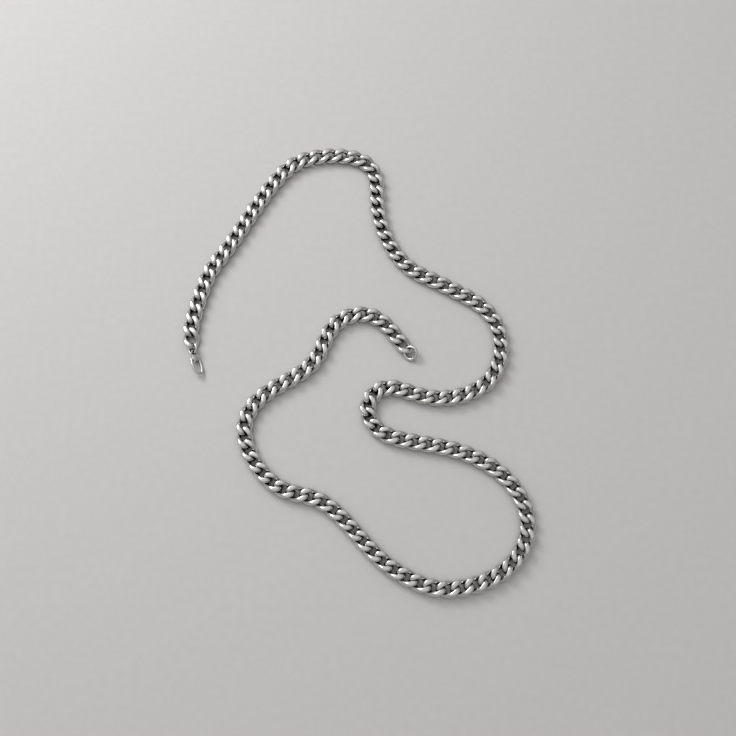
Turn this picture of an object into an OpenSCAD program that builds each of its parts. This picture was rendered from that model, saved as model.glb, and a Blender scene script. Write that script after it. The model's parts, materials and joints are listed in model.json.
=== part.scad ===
// Curb chain necklace, laid out open, with a lobster clasp at one end and a ring at the other.
// X runs to the right, Y away from the viewer and Z up. The chain rests on Z = 0, and the origin
// lies under the middle of the laid chain.

/* [Chain] */
// Outside length of one link
link_l = 8.1; // [8:0.1:8.6]
// Outside width of one link, which is the width of the chain
link_w = 5.7; // [5.4:0.1:5.9]
// Thickness of the wire that the links are bent from
wire_d = 1.5; // [1.3:0.05:1.65]
// Distance from the middle of one link to the middle of the next
pitch = 4.6; // [4.55:0.05:4.7]
// Twist of a link from its middle to each end, in degrees
link_twist = 60; // [55:1:62]
// Height of the links once their top and bottom are pressed flat
chain_h = 3.1; // [3:0.1:3.6]

/* [Rings] */
// Wire of the jump ring between the chain and the clasp
jump_wire = 0.7; // [0.6:0.05:0.8]
// Outside diameter of the jump ring
jump_d = 4.2; // [4.1:0.1:4.8]
// Lean of the jump ring out of the floor's plane, in degrees
jump_lean = 38; // [36:1:40]
// Wire of the ring at the open end
end_wire = 1.1; // [0.9:0.05:1.2]
// Outside diameter of the ring at the open end
end_d = 5.4; // [5.2:0.1:6.4]
// Lean of the ring at the open end, in degrees
end_lean = 29; // [27:1:33]
// Slack between a ring, a link's end and the clasp's eye
ring_play = 0.3; // [0.28:0.01:0.36]

/* [Clasp] */
// Distance from the middle of the clasp's eye to the tip of its nose
clasp_reach = 8.2; // [7.8:0.1:9.4]
// Distance from the back of the hook to its long axis, at the middle of the wire
back_w = 1.8; // [1.7:0.05:2.2]
// Distance from the lever's side of the hook to its long axis, at the middle of the wire
gate_w = 1.4; // [1.3:0.05:1.8]
// Thickness of the hook's round arm at the nose
arm_d = 0.9; // [0.8:0.05:1]
// Thickness of the hook's round arm where it leaves the boss
root_d = 1.1; // [1:0.05:1.3]
// Radius of the nose, at the middle of the arm
nose_r = 1.15; // [1.05:0.05:1.3]
// Radius of the boss that holds the lever
boss_r = 1.3; // [1.2:0.05:1.4]
// Thickness of the boss
boss_t = 1.8; // [1.7:0.1:2.2]
// Diameter of the hole in the eye
eye_hole = 1.5; // [1.4:0.05:1.7]
// Width of the eye's rim
eye_rim = 0.45; // [0.4:0.05:0.55]
// Depth to which the boss runs into the eye's rim
eye_bite = 0.2; // [0:0.05:0.3]
// Thickness of the eye
eye_t = 0.7; // [0.6:0.05:0.8]
// Thickness of the lever's arm
lever_d = 0.7; // [0.6:0.05:0.8]
// Length of the lip that the nose turns back over the gate
lip_l = 0.4; // [0.3:0.05:0.6]
// Length over which the lever laps under the lip
lap_l = 0.6; // [0.4:0.05:0.8]
// Radius of the thumb nub on the lever
nub_r = 0.4; // [0.35:0.05:0.45]
// Distance of the thumb nub along the gate from the hub
nub_x = 1.2; // [1.1:0.1:1.6]
// Radius of the lever's hub
hub_r = 0.65; // [0.6:0.05:0.7]
// Thickness of the lever's hub
hub_t = 0.76; // [0.66:0.02:0.8]
// Diameter of the rivet that the lever turns on
pin_d = 0.5; // [0.44:0.02:0.54]
// Gap between the rivet and the lever's bore, on the radius
pin_gap = 0.05; // [0.03:0.01:0.08]
// Gap between the lever and the slot that it turns in
slot_gap = 0.08; // [0.06:0.01:0.12]
// Travel of the lever from closed to open, in degrees
lever_travel = 26; // [22:1:28]
// Lean of the clasp on its lower edge, in degrees
clasp_lean = 34; // [30:1:36]
// Gap between the rivet and the holes in the boss, on the radius
rivet_gap = 0.01; // [0.01:0.01:0.03]
// Gap between the lever and the lip that it laps under
lap_gap = 0.05; // [0.04:0.01:0.08]
// Turn of the clasp out of line with the last link, in degrees
clasp_turn = 10; // [2:1:22]

/* [Hidden] */
$fn = 48;
steel = [0.78, 0.78, 0.76];

// The route of the chain, from the clasp to the ring: a smooth curve that these points draw to them
route = [
    [-61, 8], [-63, 12], [-56, 38], [-53, 38], [-34, 73], [-23, 82], [6, 81], [1, 58],
    [12, 36], [24, 32], [30, 28], [47, 20], [47, -7], [21, -14], [7, -4], [-3, -13],
    [3, -26], [29, -27], [49, -38], [55, -56], [45, -71], [24, -76], [15, -72], [3, -66],
    [-15, -42], [-29, -46], [-46, -24], [-37, -8], [-16, -1], [-15, 17], [3, 22], [12, 7],
    [14, 6]
];
route_step = 1 / 24;
last = len(route) - 1;
ends_out = concat([2 * route[0] - route[1]], route, [2 * route[last] - route[last - 1]]);

// A point of the smooth curve, u points along the route
function on_route(u) =
    let (k = min(floor(u), last - 1), t = u - k, s = 1 - t)
    (pow(s, 3) * ends_out[k] + (3 * pow(t, 3) - 6 * pow(t, 2) + 4) * ends_out[k + 1]
        + (3 * pow(s, 3) - 6 * pow(s, 2) + 4) * ends_out[k + 2] + pow(t, 3) * ends_out[k + 3]) / 6;

path = [for (u = [0 : route_step : last]) on_route(u)];
reach = [for (i = 0, s = 0; i < len(path);
    s = s + (i + 1 < len(path) ? norm(path[i + 1] - path[i]) : 0), i = i + 1) s];
reach_x = [for (i = [0 : len(path) - 1]) [reach[i], path[i].x]];
reach_y = [for (i = [0 : len(path) - 1]) [reach[i], path[i].y]];

// Links hook into each other at joints that lie a pitch apart along the route
link_count = floor(reach[len(path) - 1] / pitch);
first_b = ceil(link_count / 2);
function joint(i) = [lookup(i * pitch, reach_x), lookup(i * pitch, reach_y)];
function heading(i) = let (d = joint(i + 1) - joint(i)) atan2(d.y, d.x);
function wrapped(a) = a - 360 * round(a / 360);
function turn(i) = i == 0 || i == link_count - 1 ? 0 : wrapped(heading(i + 1) - heading(i - 1)) / 2;

// A twisted link tips up a little at one end where the chain turns
tip_share = -0.1;
function tip(i) = tip_share * turn(i);

// One link: a rounded loop of wire in ten stretches, twisted about its length and then pressed
wire_sides = 6;
wire_r = wire_d / 2;
wire_flat = wire_r * cos(180 / wire_sides);
bend_r = link_w / 2 - wire_flat;
half_l = link_l / 2 - wire_flat;
bend_steps = [-90, -45, 0, 45, 90];
stations = [for (side = [0, 180], a = bend_steps) side + a];
count = len(stations);

function side_of(k) = k < count / 2 ? 1 : -1;
function flat_point(k) =
    [side_of(k) * (half_l - bend_r) + bend_r * cos(stations[k]), bend_r * sin(stations[k]), 0];
function twisted(v, x) =
    let (a = -link_twist * x / half_l)
    [v.x, v.y * cos(a) - v.z * sin(a), v.y * sin(a) + v.z * cos(a)];
function middle(k) = let (p = flat_point((k + count) % count)) twisted(p, p.x);
function unit(v) = v / norm(v);
function along(k) = unit(middle(k + 1) - middle(k - 1));
function outward(k) =
    let (o = twisted([cos(stations[k]), sin(stations[k]), 0], flat_point(k).x), t = along(k))
    unit(o - (o * t) * t);
function pressed(v) = [v.x, v.y, max(-chain_h / 2, min(chain_h / 2, v.z))];

link_points = [for (k = [0 : count - 1]) let (m = middle(k), o = outward(k), up = cross(along(k), o))
    for (j = [0 : wire_sides - 1]) let (a = (j + 0.5) * 360 / wire_sides)
        pressed(m + wire_r * (cos(a) * o + sin(a) * up))];
function corner(k, j) = (k % count) * wire_sides + j % wire_sides;
link_faces = [for (k = [0 : count - 1], j = [0 : wire_sides - 1], half = [0, 1])
    half == 0 ? [corner(k, j), corner(k + 1, j), corner(k, j + 1)]
              : [corner(k, j + 1), corner(k + 1, j), corner(k + 1, j + 1)]];

// The height at which a link that tips by a given angle just rests on the floor
function rest_z(a) = -min([for (p = link_points) -sin(a) * p.x + cos(a) * p.z]);

// The middle of the laid chain, which is moved to the origin
function turned(p, a) = [cos(a) * p.x - sin(a) * p.y, sin(a) * p.x + cos(a) * p.y];
laid = [for (i = [0 : link_count - 1]) let (m = (joint(i) + joint(i + 1)) / 2, h = heading(i))
    for (p = link_points) m + turned(p, h)];
laid_x = [for (p = laid) p.x];
laid_y = [for (p = laid) p.y];
centre = [max(laid_x) + min(laid_x), max(laid_y) + min(laid_y)] / 2;
function link_at(i) = let (m = (joint(i) + joint(i + 1)) / 2 - centre) [m.x, m.y, rest_z(tip(i))];

// The clasp's hook: a long arc for its back, one for its gate, and the round nose that joins them,
// measured from the middle of the eye with the nose towards +X
boss_x = eye_hole / 2 + boss_r - eye_bite;
axis_y = (gate_w - back_w) / 2;
half_w = (gate_w + back_w) / 2;
nose_x = clasp_reach - nose_r - arm_d / 2;
bow_x = (boss_x + nose_x) / 2;
bow_r = (pow(nose_x - bow_x, 2) + pow(half_w, 2) - pow(nose_r, 2)) / (2 * (half_w - nose_r));
back_mid = [bow_x, bow_r - back_w];
nose_mid = [nose_x, axis_y];
gate_mid = [bow_x, gate_w - bow_r];
nose_a = atan2(bow_r - half_w, nose_x - bow_x);
function bow_a(x) = acos((x - bow_x) / bow_r);
function gate_y(x) = gate_mid.y + bow_r * sin(bow_a(x));

// The middle line of the hook, from the boss round the nose to the lip, as places on the arcs with the
// direction that points out of the loop, and its skin of rings
hook_sides = 10;
hook_steps = [8, 8, 2];
function on_arc(mid, r, from_a, to_a, n, first) =
    [for (k = [first : n]) let (a = from_a + (to_a - from_a) * k / n)
        [mid.x + r * cos(a), mid.y + r * sin(a), a]];
lap_end = nose_x - lip_l;
lap_start = lap_end - lap_l;
cut_share = 1.5;
hook_line = concat(
    on_arc(back_mid, bow_r, -bow_a(boss_x), -nose_a, hook_steps[0], 0),
    on_arc(nose_mid, nose_r, -nose_a, nose_a, hook_steps[1], 1),
    on_arc(gate_mid, bow_r, nose_a, bow_a(lap_start), hook_steps[2], 1));
hook_n = len(hook_line);
function hook_d(k) = max(arm_d, root_d + (arm_d - root_d) * k / hook_steps[0]);
hook_points = [for (k = [0 : hook_n - 1], j = [0 : hook_sides - 1])
    let (p = hook_line[k], a = j * 360 / hook_sides, r = hook_d(k) / 2)
    [p.x + r * cos(a) * cos(p.z), p.y + r * cos(a) * sin(p.z), r * sin(a)]];
function hook_corner(k, j) = k * hook_sides + j % hook_sides;
hook_faces = concat(
    [for (k = [0 : hook_n - 2], j = [0 : hook_sides - 1], half = [0, 1])
        half == 0 ? [hook_corner(k, j), hook_corner(k, j + 1), hook_corner(k + 1, j)]
                  : [hook_corner(k, j + 1), hook_corner(k + 1, j + 1), hook_corner(k + 1, j)]],
    [[for (j = [hook_sides - 1 : -1 : 0]) hook_corner(0, j)]],
    [[for (j = [0 : hook_sides - 1]) hook_corner(hook_n - 1, j)]]);

// The lever turns in a slot in the boss and laps under the lip. Its two end faces are round about the
// hub, so they pass the corners of the lip and the nose as it turns
hub_ahead = 0.1;
hub = [boss_x + hub_ahead, gate_y(boss_x) - hub_r + lever_d / 2];
slot_t = hub_t + 2 * slot_gap;
slot_room = 12;
slot_from = -lever_travel - slot_room;
slot_to = 90 + slot_room;
slot_steps = 6;
function from_hub(x, r) = norm(gate_mid + r * [cos(bow_a(x)), sin(bow_a(x))] - hub);
lip_reach = from_hub(lap_start, bow_r) - slot_gap;
nose_reach = from_hub(lap_end, bow_r - arm_d / 2) - slot_gap;
slot_reach = (boss_r + norm(hub - [boss_x, 0])) / cos((slot_to - slot_from) / slot_steps / 2);

// Heights and places of the rings and the clasp, outward from the middle of each end link
jump_r = (jump_d - jump_wire) / 2;
jump_z = jump_r * sin(jump_lean) + jump_wire / 2;
eye_x = link_l / 2 + ring_play + eye_rim + eye_hole / 2;
jump_x = eye_x - jump_r;
clasp_z = boss_r * sin(clasp_lean) + boss_t / 2 * cos(clasp_lean);
end_r = (end_d - end_wire) / 2;
end_z = end_r * sin(end_lean) + end_wire / 2;
end_x = half_l - wire_flat - ring_play - end_wire / 2 + end_r;

// A round rod bent along an arc, from one angle to another
module rod(mid, r, from_a, to_a, d) {
    translate(mid) rotate([0, 0, from_a]) rotate_extrude(angle = to_a - from_a)
        translate([r, 0]) circle(d = d);
}

// A square bar bent along an arc, as wide as it is tall, that ends at a given radius
module arc_bar(mid, r, from_a, to_a, t) {
    translate(mid) rotate([0, 0, from_a]) rotate_extrude(angle = to_a - from_a)
        translate([r - t, -t / 2]) square(t);
}

// A ball whose poles lie across the clasp, clear of the rim where it runs into the lever's arm
module ball(at, d) {
    translate(at) rotate([90, 0, 0]) sphere(d = d);
}

module ring(d, wire) {
    rotate_extrude() translate([(d - wire) / 2, 0]) circle(d = wire);
}

// A disc about the lever's axis
module about_hub(r, t) {
    translate([hub.x, hub.y, 0]) cylinder(r = r, h = t, center = true);
}

// A flat wedge about the lever's axis, which frees the side of the boss that the lever's arm sweeps
module sweep(t) {
    translate([hub.x, hub.y, -t / 2]) linear_extrude(t)
        polygon([[0, 0], for (k = [0 : slot_steps])
            let (a = slot_from + (slot_to - slot_from) * k / slot_steps) slot_reach * [cos(a), sin(a)]]);
}

// Places a child outward from the middle of the first or the last link, above the floor
module at_start() {
    m = link_at(0);
    translate([m.x, m.y, 0]) rotate([0, 0, heading(0) + 180]) children();
}
module at_end() {
    m = link_at(link_count - 1);
    translate([m.x, m.y, 0]) rotate([0, 0, heading(link_count - 1)]) children();
}
module at_clasp() {
    at_start() translate([eye_x, 0, clasp_z]) rotate([0, 0, clasp_turn]) rotate([-clasp_lean, 0, 0])
        children();
}

module links(from, to) {
    for (i = [from : to])
        translate(link_at(i)) rotate([0, tip(i), heading(i)])
            polyhedron(link_points, link_faces, convexity = 6);
}

module chain_a() {
    color(steel) links(0, first_b - 1);
}

module chain_b() {
    color(steel) links(first_b, link_count - 1);
}

module clasp_ring() {
    color(steel) at_start() translate([jump_x, 0, jump_z]) rotate([jump_lean, 0, 0])
        ring(jump_d, jump_wire);
}

// The hook is one tapered arm, and its lip is cut away inside where the lever laps under it
module hook() {
    difference() {
        polyhedron(hook_points, hook_faces, convexity = 6);
        arc_bar(gate_mid, bow_r, bow_a(lap_end), bow_a(lap_start - lip_l), cut_share * arm_d);
    }
}

module clasp_body() {
    color(steel) at_clasp() difference() {
        union() {
            hook();
            translate([boss_x, 0, 0]) cylinder(r = boss_r, h = boss_t, center = true);
            cylinder(r = eye_hole / 2 + eye_rim, h = eye_t, center = true);
        }
        cylinder(d = eye_hole, h = 2 * boss_t, center = true);
        about_hub(hub_r + slot_gap, slot_t);
        about_hub(pin_d / 2 + rivet_gap, 2 * boss_t);
        sweep(slot_t);
    }
}

module clasp_lever() {
    color(steel) at_clasp() difference() {
        union() {
            about_hub(hub_r, hub_t);
            intersection() {
                rod(gate_mid, bow_r, bow_a(lap_end), bow_a(hub.x), lever_d);
                about_hub(lip_reach, 2 * lever_d);
            }
            intersection() {
                rod(gate_mid, bow_r, bow_a(lap_end), bow_a(hub.x), lever_d);
                translate(gate_mid) cylinder(r = bow_r - lap_gap, h = 2 * lever_d, center = true);
                about_hub(nose_reach, 2 * lever_d);
            }
            ball([hub.x + nub_x, gate_y(hub.x + nub_x) + nub_r / 2, 0], 2 * nub_r);
        }
        about_hub(pin_d / 2 + pin_gap, 2 * hub_t);
    }
}

module clasp_pin() {
    color(steel) at_clasp() about_hub(pin_d / 2, boss_t);
}

module end_ring() {
    color(steel) at_end() translate([end_x, 0, end_z]) rotate([end_lean, 0, 0]) ring(end_d, end_wire);
}

chain_a();
chain_b();
clasp_ring();
clasp_body();
clasp_lever();
clasp_pin();
end_ring();
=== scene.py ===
# %% [markdown]
# # Dressing a curb chain necklace
#
# The frame is a packed model of a curb chain with a lobster clasp at one end and a plain ring at
# the other. Its solids are the right size and lie in the right place, but they have few faces and
# no finish. This lesson gives each of them a smooth metal form and a polished steel surface.
#
# Lengths are worked out in millimetres, which suit a jeweller's sizes, and are turned into
# Blender's metres where they enter a mesh.

# %% Load the frame
import json
import math

import bmesh
import bpy
import numpy as np
from mathutils import Matrix, Vector
from mathutils.bvhtree import BVHTree


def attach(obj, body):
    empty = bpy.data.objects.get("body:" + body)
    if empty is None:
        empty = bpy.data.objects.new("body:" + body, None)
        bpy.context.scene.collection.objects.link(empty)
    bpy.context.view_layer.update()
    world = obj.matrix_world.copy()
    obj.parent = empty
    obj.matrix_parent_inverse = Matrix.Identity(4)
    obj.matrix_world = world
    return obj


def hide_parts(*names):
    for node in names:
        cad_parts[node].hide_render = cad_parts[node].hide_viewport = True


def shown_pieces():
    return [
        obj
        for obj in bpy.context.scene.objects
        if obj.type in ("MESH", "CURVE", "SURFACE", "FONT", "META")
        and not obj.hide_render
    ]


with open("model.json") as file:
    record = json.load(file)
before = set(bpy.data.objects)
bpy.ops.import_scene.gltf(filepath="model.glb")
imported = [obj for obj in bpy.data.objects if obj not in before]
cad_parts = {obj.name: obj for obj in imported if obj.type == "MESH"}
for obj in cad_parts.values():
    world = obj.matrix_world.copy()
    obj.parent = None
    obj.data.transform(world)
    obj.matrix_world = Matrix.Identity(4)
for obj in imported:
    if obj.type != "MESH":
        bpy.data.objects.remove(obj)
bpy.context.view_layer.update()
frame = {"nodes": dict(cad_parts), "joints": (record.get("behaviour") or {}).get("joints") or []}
MM = 0.001
nodes = frame["nodes"]
print("nodes:", ", ".join(sorted(nodes)))

# %% [markdown]
# ## The camera
#
# A flat object gives little depth to judge a lens by. The long run of equal links does: they look
# smaller towards the top of the picture. That shrinking gives the focal length and the tilt.
# The camera stands in front of the necklace, leans 74 degrees down and looks along +Y.

# %% Camera
PICTURE_SIDE = 736
FOCAL_PX = 900
SENSOR_MM = 36
TILT = math.radians(74)
LOOK_AT = Vector((4.688, -3.277, 0)) * MM
DISTANCE = 311.4 * MM
NEAREST_SEEN = 10 * MM


def shown(thing):
    """Links an object to the scene, and returns it."""
    bpy.context.scene.collection.objects.link(thing)
    return thing


camera = shown(bpy.data.objects.new("camera", bpy.data.cameras.new("camera")))
bpy.context.scene.camera = camera
camera.data.sensor_width = SENSOR_MM
camera.data.lens = FOCAL_PX / PICTURE_SIDE * SENSOR_MM
camera.data.clip_start = NEAREST_SEEN
camera.location = LOOK_AT + DISTANCE * Vector((0, -math.cos(TILT), math.sin(TILT)))
camera.rotation_euler = (LOOK_AT - camera.location).to_track_quat("-Z", "Y").to_euler()
print("lens in mm:", round(camera.data.lens, 2))

# %% [markdown]
# ## Nodes written as sums
#
# Materials and Geometry Nodes are both graphs. Wiring Math nodes by hand hides the formula, so a
# small class wraps an output socket and answers to Python's operators. Writing `1 - mask` then
# adds the Subtract node. A second class adds every other kind of node in one method.


# %% A socket that can be added and multiplied
class Term:
    """One output socket of a graph, which Python's operators turn into more nodes."""

    def __init__(self, graph, socket):
        self.graph, self.socket = graph, socket

    def math(self, operation, *others):
        return self.graph.math(operation, self, *others)

    def __add__(self, other):
        return self.graph.math("ADD", self, other)

    def __sub__(self, other):
        return self.graph.math("SUBTRACT", self, other)

    def __rsub__(self, other):
        return self.graph.math("SUBTRACT", other, self)

    def __mul__(self, other):
        return self.graph.math("MULTIPLY", self, other)

    def __truediv__(self, other):
        return self.graph.math("DIVIDE", self, other)

    def __rtruediv__(self, other):
        return self.graph.math("DIVIDE", other, self)

    def __neg__(self):
        return self.graph.math("MULTIPLY", self, -1)

    __radd__ = __add__
    __rmul__ = __mul__


operators = [name for name in vars(Term) if hasattr(float, name) and not hasattr(object, name)]
print("operators:", operators)


# %% A graph that takes any node
class Graph:
    """A material's, a world's or a Geometry Nodes graph, to which nodes are added in one way."""

    def __init__(self, tree):
        self.tree = tree

    def find(self, sockets, key):
        if isinstance(key, int):
            return sockets[key]
        return next(s for s in sockets if key in (s.identifier, s.name))

    def add(self, kind, settings=(), values=(), out=0):
        """A node of one type, with its settings, its inputs' values or links, and one output."""
        node = self.tree.nodes.new(kind)
        for name, value in dict(settings).items():
            setattr(node, name, value)
        for key, value in dict(values).items():
            socket = self.find(node.inputs, key)
            if isinstance(value, Term):
                self.tree.links.new(value.socket, socket)
            else:
                socket.default_value = value
        return Term(self, self.find(node.outputs, out)) if node.outputs else node

    def math(self, operation, *terms):
        return self.add("ShaderNodeMath", {"operation": operation}, enumerate(terms))

    def mix(self, factor, low, high):
        values = {"Factor_Float": factor, "A_Color": low, "B_Color": high}
        return self.add("ShaderNodeMix", {"data_type": "RGBA"}, values, "Result_Color")


def blank_graph(owner):
    """The graph of a material or a world, emptied."""
    owner.use_nodes = True
    owner.node_tree.nodes.clear()
    return Graph(owner.node_tree)


print("ways to add a node:", [name for name in vars(Graph) if not name.startswith("_")])

# %% [markdown]
# ## Polished steel
#
# The chain is tumbled until it shines, so its metal is a mirror that is slightly soft. Three
# things keep such a mirror from looking like chrome paint: the polish is a little uneven, wear
# leaves hair-fine marks, and the recesses are darker and duller. Noise in object coordinates
# gives the first two, as broad patches, a fine grain, and hairs drawn out along X. The third
# follows an attribute named recess, which each piece stores on its own mesh: 0 in the open and 1
# deep inside a loop or close against the floor. The darkening there is mostly painted shade, the
# shade that the loops and the floor cast, baked into the colour together with some tarnish; the
# dullness is a rougher polish. A second attribute, tone, makes each link a little brighter or
# duller than the next.

# %% One recipe for every steel finish
BRIGHT = (0.745, 0.74, 0.72)
PATCH_MM, GRAIN_MM, HAIR_MM = 2.5, 0.12, 0.5
HAIR_DRAW = (1, 9, 1)
# Between these two limits of the recess measure the colour darkens: painted shade of the loops
# and the floor, with some tarnish, which the patches stir a little
SHADE_TARNISH_FROM, SHADE_TARNISH_TO, SHADE_TARNISH_STRAY = 0.28, 0.56, 0.15
PATCH_DULL = 0.93
POLISH_LEAST, POLISH_SPREAD = 0.7, 0.6
SHADE_TARNISH_ROUGH, GRAIN_ROUGH = 0.22, 0.05
GRAIN_SHARE, MARK_HEIGHT = 0.55, 0.01 * MM


def steel(name, dark, rough, marks):
    """Polished steel: the grey of its painted shade and tarnish in the recesses, the roughness of
    its polish, its marks' strength.
    """
    material = bpy.data.materials.new(name)
    g = blank_graph(material)
    place = g.add("ShaderNodeTexCoord", out="Object")

    def noise(size_mm, detail, draw=(1, 1, 1)):
        at = g.add("ShaderNodeMapping", (), {"Vector": place, "Scale": draw})
        values = {"Vector": at, "Scale": 1 / (size_mm * MM), "Detail": detail}
        return g.add("ShaderNodeTexNoise", (), values, "Fac")

    recess = g.add("ShaderNodeAttribute", {"attribute_name": "recess"}, out="Fac")
    tone = g.add("ShaderNodeAttribute", {"attribute_name": "tone"}, out="Fac")
    patch = noise(PATCH_MM, 2)
    grain = noise(GRAIN_MM, 3)
    hairs = noise(HAIR_MM, 2, HAIR_DRAW)
    # Painted shade: where the recess measure is high the colour turns to the dark grey, as the
    # shade of the loops and the floor with some tarnish, and the polish grows rougher
    depth = recess + SHADE_TARNISH_STRAY * (patch - 0.5)
    values = {"Value": depth, "From Min": SHADE_TARNISH_FROM, "From Max": SHADE_TARNISH_TO}
    shade_and_tarnish = g.add("ShaderNodeMapRange", {"interpolation_type": "SMOOTHSTEP"}, values, "Result")
    dull = [PATCH_DULL * channel for channel in BRIGHT]
    worn = g.mix(patch * 0.5 + tone * 0.5, [*dull, 1], [*BRIGHT, 1])
    colour = g.mix(shade_and_tarnish, worn, [dark, dark, dark, 1])
    polish = rough * (POLISH_LEAST + POLISH_SPREAD * patch)
    roughness = polish + SHADE_TARNISH_ROUGH * shade_and_tarnish + GRAIN_ROUGH * grain
    height = GRAIN_SHARE * grain + (1 - GRAIN_SHARE) * hairs
    values = {"Height": height, "Strength": marks, "Distance": MARK_HEIGHT}
    bump = g.add("ShaderNodeBump", (), values)
    values = {"Base Color": colour, "Metallic": 1.0, "Roughness": roughness, "Normal": bump}
    shader = g.add("ShaderNodeBsdfPrincipled", (), values)
    g.add("ShaderNodeOutputMaterial", (), {"Surface": shader})
    return material


chain_steel = steel("chain steel", dark=0.02, rough=0.15, marks=0.25)
ring_steel = steel("ring steel", dark=0.04, rough=0.12, marks=0.2)
clasp_steel = steel("clasp steel", dark=0.03, rough=0.14, marks=0.2)
print("finishes:", [m.name for m in bpy.data.materials])

# %% [markdown]
# ## Where each link lies
#
# The links could be laid again along the route, but the frame already holds 118 of them, each
# turned and seated on the floor. A link is the same when it is turned half round any of its three
# axes, so the mean of its corners is its middle and the direction in which they spread most is
# its length.

# %% Read each link's seat
MERGE_WITHIN = 0.001 * MM


def merged(mesh):
    """A copy of a CAD mesh, whose loose triangles are joined at their corners."""
    bm = bmesh.new()
    bm.from_mesh(mesh)
    bmesh.ops.remove_doubles(bm, verts=bm.verts, dist=MERGE_WITHIN)
    return bm


def loose_parts(mesh):
    """The corner points of each separate solid in a CAD mesh, as arrays in metres."""
    bm = merged(mesh)
    bm.verts.ensure_lookup_table()
    seen, parts = set(), []
    for start in bm.verts:
        if start.index in seen:
            continue
        seen.add(start.index)
        stack, part = [start], []
        while stack:
            vert = stack.pop()
            part.append(tuple(vert.co))
            for edge in vert.link_edges:
                other = edge.other_vert(vert)
                if other.index not in seen:
                    seen.add(other.index)
                    stack.append(other)
        parts.append(np.array(part))
    bm.free()
    return parts


def seat(points):
    """The middle of a link and its turn: no roll, then its tip, then its heading."""
    middle = points.mean(0)
    spread = np.linalg.eigh(np.cov((points - middle).T))[1]
    x, y, z = spread[:, 2]
    return middle, (0, -math.asin(z), math.atan2(y, x))


seats = {}
for name in ("chain_a", "chain_b"):
    seats[name] = [seat(part) for part in loose_parts(nodes[name].data)]
    print(name, "links:", len(seats[name]))

# %% [markdown]
# ## Trees and plain meshes
#
# Every tree here opens with a mesh of points and the sizes it needs, each an input with a name.
# It closes by realizing its instances and setting its material. A modifier's inputs are set by
# identifier, before the object is evaluated for the first time. The evaluated result is copied
# into a plain mesh, and the object that carried the modifier is removed.


# %% Open a tree, close it, and grow a piece from it
def open_tree(name, sizes, counts):
    """A new Geometry Nodes graph, and its named inputs as terms."""
    tree = bpy.data.node_groups.new(name, "GeometryNodeTree")
    kinds = {"Points": "Geometry"} | dict.fromkeys(sizes, "Float") | dict.fromkeys(counts, "Int")
    for label, kind in kinds.items():
        tree.interface.new_socket(name=label, in_out="INPUT", socket_type="NodeSocket" + kind)
    tree.interface.new_socket(name="Mesh", in_out="OUTPUT", socket_type="NodeSocketGeometry")
    g = Graph(tree)
    return g, {s.name: Term(g, s) for s in tree.nodes.new("NodeGroupInput").outputs if s.name}


def close_tree(g, made, material):
    """Ends a tree in one realized mesh of one material."""
    whole = g.add("GeometryNodeRealizeInstances", (), {"Geometry": made})
    whole = g.add("GeometryNodeSetMaterial", (), {"Geometry": whole, "Material": material})
    g.add("NodeGroupOutput", (), {"Mesh": whole})
    return g.tree


def plain(carrier):
    """A plain mesh of an object as its modifiers leave it. The object itself is removed."""
    bpy.context.view_layer.update()
    evaluated = carrier.evaluated_get(bpy.context.evaluated_depsgraph_get())
    mesh = bpy.data.meshes.new_from_object(evaluated)
    bpy.data.objects.remove(carrier)
    return mesh


def grown(name, points, tree, sizes):
    """A piece that a tree makes on a mesh of points."""
    carrier = shown(bpy.data.objects.new(name + " carrier", points))
    modifier = carrier.modifiers.new("tree", "NODES")
    modifier.node_group = tree
    for item in tree.interface.items_tree:
        if item.in_out == "INPUT" and item.name in sizes:
            modifier[item.identifier] = sizes[item.name]
    return shown(bpy.data.objects.new(name, plain(carrier)))


def triangles(piece):
    piece.data.calc_loop_triangles()
    return len(piece.data.loop_triangles)


print("every tree takes Points and gives a Mesh")

# %% [markdown]
# ## One link, 118 times over
#
# A curb link is an oval of round wire that is twisted to each end and then rolled flat, which is
# why the chain lies still and shows a broad bright face. Each of those steps is a few nodes here:
# a circle is pulled into an oval, resampled evenly, twisted about its length, given its wire and
# pressed between two soft limits. Instance on Points sets one on every seat.
#
# Real links rest on each other, while the frame's loose solids have to stay clear, so the wire
# shown is a little thicker than the frame's. Tone, a random number for each link, is stored for
# the finish.

# %% The link tree
LINK_SIZES = {
    "Length": 8.05 * MM,
    "Width": 5.64 * MM,
    "Wire": 1.72 * MM,
    "Twist": math.radians(60),
    "Pressed height": 3.1 * MM,
    "Press softness": 0.5 * MM,
}
LINK_COUNTS = {"Stations": 40, "Wire sides": 16}
OVAL_DRAFT = 96
TONE_SEED = 7


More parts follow.
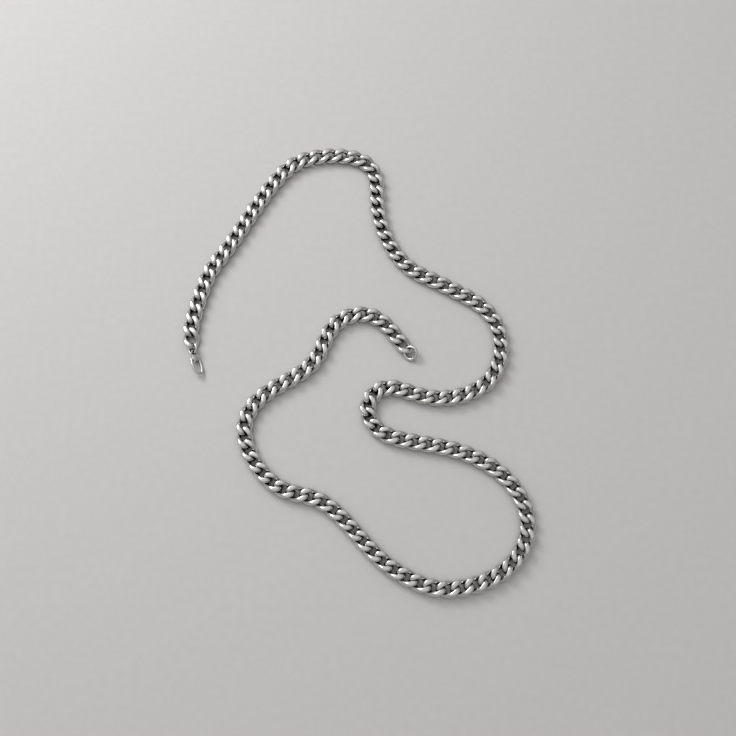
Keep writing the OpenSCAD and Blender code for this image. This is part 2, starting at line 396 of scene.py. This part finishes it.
def link_tree(material):
    g, given = open_tree("curb links", LINK_SIZES, [*LINK_COUNTS, "Seed"])
    wire = given["Wire"]
    bend = given["Width"] / 2 - wire / 2
    half = given["Length"] / 2 - wire / 2
    place = g.add("GeometryNodeInputPosition")
    x, y, z = (g.add("ShaderNodeSeparateXYZ", (), {0: place}, axis) for axis in "XYZ")

    # The oval: a circle whose halves are pulled apart
    values = {"Resolution": OVAL_DRAFT, "Radius": bend}
    circle = g.add("GeometryNodeCurvePrimitiveCircle", (), values, "Curve")
    apart = g.add("ShaderNodeCombineXYZ", (), {"X": x.math("SIGN") * (half - bend)})
    oval = g.add("GeometryNodeSetPosition", (), {"Geometry": circle, "Offset": apart})
    oval = g.add("GeometryNodeResampleCurve", (), {"Curve": oval, "Count": given["Stations"]})

    # The twist about the link's length
    values = {"Vector": place, "Angle": -1 * given["Twist"] * x / half}
    twisted = g.add("ShaderNodeVectorRotate", {"rotation_type": "X_AXIS"}, values)
    bent = g.add("GeometryNodeSetPosition", (), {"Geometry": oval, "Position": twisted})

    # The wire, and the rollers that press it
    values = {"Resolution": given["Wire sides"], "Radius": wire / 2}
    profile = g.add("GeometryNodeCurvePrimitiveCircle", (), values, "Curve")
    tube = g.add("GeometryNodeCurveToMesh", (), {"Curve": bent, "Profile Curve": profile})
    limit, soft = given["Pressed height"] / 2, given["Press softness"]
    flat = z.math("SMOOTH_MIN", limit, soft).math("SMOOTH_MAX", -limit, soft)
    pressed = g.add("ShaderNodeCombineXYZ", (), {"X": x, "Y": y, "Z": flat})
    link = g.add("GeometryNodeSetPosition", (), {"Geometry": tube, "Position": pressed})
    link = g.add("GeometryNodeSetShadeSmooth", (), {"Geometry": link})

    # One link on every seat, with its own tone
    read = {"data_type": "FLOAT_VECTOR"}
    turn = g.add("GeometryNodeInputNamedAttribute", read, {"Name": "turn"}, "Attribute")
    turn = g.add("FunctionNodeEulerToRotation", (), {"Euler": turn})
    values = {"Points": given["Points"], "Instance": link, "Rotation": turn}
    links = g.add("GeometryNodeInstanceOnPoints", (), values)
    how, values = {"data_type": "FLOAT"}, {"Seed": given["Seed"]}
    tone = g.add("FunctionNodeRandomValue", how, values, "Value")
    values = {"Geometry": links, "Name": "tone", "Value": tone}
    links = g.add("GeometryNodeStoreNamedAttribute", how | {"domain": "INSTANCE"}, values)
    return close_tree(g, links, material)


links_tree = link_tree(chain_steel)
print("nodes in the link tree:", len(links_tree.nodes))


# %% Set the links on their seats
def seat_points(name, found):
    mesh = bpy.data.meshes.new(name + " seats")
    mesh.from_pydata([middle for middle, turn in found], [], [])
    turns = mesh.attributes.new("turn", "FLOAT_VECTOR", "POINT")
    turns.data.foreach_set("vector", [a for middle, turn in found for a in turn])
    return mesh


for number, (name, found) in enumerate(seats.items()):
    sizes = {**LINK_SIZES, **LINK_COUNTS, "Seed": TONE_SEED + number}
    links = grown(name.replace("chain", "links"), seat_points(name, found), links_tree, sizes)
    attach(links, "necklace")
    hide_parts(name)
    print(links.name, triangles(links), "triangles")

# %% [markdown]
# ## The rings
#
# A ring is bent from wire round a rod and its ends are closed, so somewhere there is a seam. A
# torus would be seamless. The tree below bends a circle of wire and narrows the wire to a fine
# groove at one place, and the ring is then laid where the frame's ring lies.

# %% The ring tree
RING_SIZES = {"Seam width": 0.06 * MM, "Seam depth": 0.12}
RING_STATIONS, RING_SIDES = 128, 20


def ring_tree(material):
    g, given = open_tree("wire ring", ["Radius", "Wire", *RING_SIZES], ["Stations"])
    radius = given["Radius"]
    values = {"Resolution": given["Stations"], "Radius": radius}
    circle = g.add("GeometryNodeCurvePrimitiveCircle", (), values, "Curve")
    place = g.add("GeometryNodeInputPosition")
    x, y = (g.add("ShaderNodeSeparateXYZ", (), {0: place}, axis) for axis in "XY")

    # The groove lies where the circle crosses +X, and fades fast towards the far side
    far = (y / given["Seam width"]).math("POWER", 2) + (radius - x) / MM
    dip = given["Seam depth"] * (-far).math("EXPONENT")
    circle = g.add("GeometryNodeSetCurveRadius", (), {"Curve": circle, "Radius": 1 - dip})
    values = {"Resolution": RING_SIDES, "Radius": given["Wire"] / 2}
    profile = g.add("GeometryNodeCurvePrimitiveCircle", (), values, "Curve")
    thick = g.add("GeometryNodeInputRadius")
    values = {"Curve": circle, "Profile Curve": profile, "Scale": thick}
    tube = g.add("GeometryNodeCurveToMesh", (), values)
    tube = g.add("GeometryNodeSetShadeSmooth", (), {"Geometry": tube})
    return close_tree(g, tube, material)


rings_tree = ring_tree(ring_steel)
print("nodes in the ring tree:", len(rings_tree.nodes))

# %% Lay the rings
SEAM_TURNS = {"clasp_ring": 200, "end_ring": 70}


def ring_seat(points):
    """The middle, the axis, the outer radius and the wire of a CAD ring."""
    middle = (points.max(0) + points.min(0)) / 2
    axis = np.linalg.eigh(np.cov((points - middle).T))[1][:, 0]
    axis = axis if axis[2] > 0 else -axis
    away = points - middle
    along = away @ axis
    flat = np.linalg.norm(away - np.outer(along, axis), axis=1)
    return middle, axis, flat.max(), np.ptp(along)


for name, seam_turn in SEAM_TURNS.items():
    middle, axis, outer, wire = ring_seat(loose_parts(nodes[name].data)[0])
    sizes = {"Radius": outer - wire / 2, "Wire": wire, "Stations": RING_STATIONS, **RING_SIZES}
    ring = grown(name + "_wire", bpy.data.meshes.new(name), rings_tree, sizes)
    lean = Vector(axis).to_track_quat("Z", "Y").to_matrix().to_4x4()
    seam = Matrix.Rotation(math.radians(seam_turn), 4, "Z")
    ring.data.transform(Matrix.Translation(middle) @ lean @ seam)
    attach(ring, "necklace")
    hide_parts(name)
    print(name, "outer radius", round(outer / MM, 2), "wire", round(wire / MM, 2))

# %% [markdown]
# ## The clasp
#
# A lobster clasp is cast and then tumbled, so none of its edges is sharp. The frame's solids have
# the right forms with hard edges. A merged copy of each is remeshed finely and smoothed, which
# rounds every edge by about the same small amount, as tumbling does.
#
# The boss is a flat disc there, while a cast one is domed at its front and flat at its back. So
# the corners of its upper face sink towards the rim, down to a base that clears the lever's slot,
# and leave the rivet's head a little proud.

# %% Round off a copy of a CAD solid
VOXEL_MM = 0.06
SMOOTH_ROUNDS, SMOOTH_STEP = 6, 0.5


def tumbled(name, node):
    """A smooth copy of a CAD node, made in millimetres because voxels have a least size."""
    bm = merged(nodes[node].data)
    bmesh.ops.scale(bm, vec=Vector((1, 1, 1)) / MM, verts=bm.verts)
    mesh = bpy.data.meshes.new(name)
    bm.to_mesh(mesh)
    bm.free()
    carrier = shown(bpy.data.objects.new(name + " carrier", mesh))
    remesh = carrier.modifiers.new("remesh", "REMESH")
    remesh.mode, remesh.voxel_size, remesh.use_smooth_shade = "VOXEL", VOXEL_MM, True
    smooth = carrier.modifiers.new("smooth", "SMOOTH")
    smooth.factor, smooth.iterations = SMOOTH_STEP, SMOOTH_ROUNDS
    result = plain(carrier)
    result.transform(Matrix.Scale(MM, 4))
    result.materials.clear()
    result.materials.append(clasp_steel)
    return shown(bpy.data.objects.new(name, result))


print("edges are rounded with voxels of", VOXEL_MM, "mm")

# %% Dome the boss
DOME_BASE = 0.55 * MM
DOME_FALL = 0.7
FACE_DEPTH = 0.01 * MM


def dome(piece, node, axis):
    """Turns the disc that stands highest along an axis into a dome, by sinking its rim."""
    axis = np.array(axis)
    across = np.linalg.svd(axis[None])[2][1:]
    points = np.array([v.co for v in nodes[node].data.vertices])
    heights = points @ axis
    face = points[heights > heights.max() - FACE_DEPTH] @ across.T
    middle, radius = (face.max(0) + face.min(0)) / 2, np.ptp(face, axis=0).mean() / 2
    corners = np.array([v.co for v in piece.data.vertices])
    rise = np.maximum(corners @ axis - (heights.max() + heights.min()) / 2 - DOME_BASE, 0)
    far = np.minimum(np.linalg.norm(corners @ across.T - middle, axis=1) / radius, 1)
    corners -= np.outer(rise * DOME_FALL * far**2, axis)
    piece.data.vertices.foreach_set("co", corners.ravel())
    piece.data.update()
    print("boss radius in mm:", round(radius / MM, 2), "height:", round(rise.max() / MM, 2))


hinge = frame["joints"][0]
upward = math.copysign(1, hinge["axis"][2]) * Vector(hinge["axis"])
print("the boss faces up along", [round(part, 2) for part in upward])

# %% The clasp's three pieces
CLASP_PIECES = (
    ("clasp_cast", "clasp_body", "necklace"),
    ("lever_cast", "clasp_lever", "lever"),
    ("rivet", "clasp_pin", "necklace"),
)
for name, node, body in CLASP_PIECES:
    piece = tumbled(name, node)
    if node == "clasp_body":
        dome(piece, node, upward)
    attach(piece, body)
    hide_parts(node)
    print(name, triangles(piece), "triangles")

# %% [markdown]
# ## The recesses, which the finish paints in shade
#
# A corner lies in shade as far as the straight lines out of it are blocked. So rays go out from
# every corner of every piece, over the side that it faces, and the share that meets metal or the
# floor close by is stored as recess, which the finish paints as shade along with some tarnish.
# The same directions serve every corner, which gives the same result each run.

# %% Measure the recesses
SHADE_REACH = 2.2 * MM
SHADE_RAYS = 28
RAY_LIFT = 0.04 * MM


def directions(count):
    """Unit vectors spread evenly over a sphere, along a golden spiral."""
    step = np.arange(count) + 0.5
    z = 1 - 2 * step / count
    turn = step * math.pi * (3 - math.sqrt(5))
    flat = np.sqrt(1 - z * z)
    return [Vector(v) for v in zip(flat * np.cos(turn), flat * np.sin(turn), z)]


def measure_recess(pieces):
    corners, faces = [], []
    for piece in pieces:
        first = len(corners)
        corners += [v.co.copy() for v in piece.data.vertices]
        faces += [[first + i for i in face.vertices] for face in piece.data.polygons]
    metal = BVHTree.FromPolygons(corners, faces)
    fan = directions(SHADE_RAYS)
    for piece in pieces:
        found = []
        for vert in piece.data.vertices:
            start = vert.co + vert.normal * RAY_LIFT
            hit = total = 0
            for way in fan:
                facing = way.dot(vert.normal)
                way = way if facing > 0 else -way
                total += abs(facing)
                met = metal.ray_cast(start, way, SHADE_REACH)[0] is not None
                if met or start.z + SHADE_REACH * way.z < 0:
                    hit += abs(facing)
            found.append(hit / total)
        # The share of blocked rays, which the steel's colour turns into painted shade
        recess = piece.data.attributes.new("recess", "FLOAT", "POINT")
        recess.data.foreach_set("value", found)
        print(piece.name, "mean recess", round(sum(found) / len(found), 2))


measure_recess(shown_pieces())

# %% [markdown]
# ## Floor and light
#
# A plain pale floor keeps the eye on the metal. Polished metal shows what is round it more than
# itself, so the light matters as much as the finish. A broad softbox high at the back left gives
# each link its bright face and a soft shadow towards the viewer, and a smaller window beyond it
# adds a crisp highlight. The room is dim low down and brighter overhead, which grades the metal
# from its crown to its sides.

# %% Floor
FLOOR_HALF = 3
FIBRE_SCALE, FIBRE_DETAIL = 400, 4

ground = bpy.data.meshes.new("floor")
signs = ((-1, -1), (1, -1), (1, 1), (-1, 1))
ground.from_pydata([(FLOOR_HALF * x, FLOOR_HALF * y, 0) for x, y in signs], [], [(0, 1, 2, 3)])
floor = shown(bpy.data.objects.new("floor", ground))

paper = bpy.data.materials.new("pale paper")
g = blank_graph(paper)
place = g.add("ShaderNodeTexCoord", out="Object")
values = {"Vector": place, "Scale": FIBRE_SCALE, "Detail": FIBRE_DETAIL}
fibre = g.add("ShaderNodeTexNoise", (), values, "Fac")
tint = g.mix(fibre, (0.64, 0.63, 0.625, 1), (0.7, 0.69, 0.685, 1))
shader = g.add("ShaderNodeBsdfPrincipled", (), {"Base Color": tint, "Roughness": 0.9})
g.add("ShaderNodeOutputMaterial", (), {"Surface": shader})
ground.materials.append(paper)
print("floor of", 2 * FLOOR_HALF, "m in", paper.name)

# %% Lights
SOFTBOX_POWER, WINDOW_POWER = 0.75, 1.1
ROOM_LOW, ROOM_RISE = 0.28, 0.5
ROOM_TOP = Vector((-0.25, 0.3, 0.92)).normalized()
ROOM_TINT = (1, 0.985, 0.965, 1)


def lamp(name, place, size, power):
    """A square softbox that shines from a place, in metres, at the necklace's middle."""
    light = bpy.data.lights.new(name, "AREA")
    light.shape, light.size, light.energy = "SQUARE", size, power
    made = shown(bpy.data.objects.new(name, light))
    made.location = place
    made.rotation_euler = (-Vector(place)).to_track_quat("-Z", "Y").to_euler()


lamp("softbox", (-0.3, 0.26, 0.42), 0.42, SOFTBOX_POWER)
lamp("window", (-0.34, 0.38, 0.36), 0.2, WINDOW_POWER)

world = bpy.data.worlds.new("room")
bpy.context.scene.world = world
g = blank_graph(world)
way = g.add("ShaderNodeTexCoord", out="Generated")
values = {0: way, 1: ROOM_TOP}
above = g.add("ShaderNodeVectorMath", {"operation": "DOT_PRODUCT"}, values, "Value")
strength = ROOM_LOW + ROOM_RISE * above.math("MAXIMUM", 0).math("POWER", 2)
room = g.add("ShaderNodeBackground", (), {"Color": ROOM_TINT, "Strength": strength})
g.add("ShaderNodeOutputWorld", (), {"Surface": room})
bpy.context.scene.view_settings.view_transform = "Standard"

# %% [markdown] ## The end
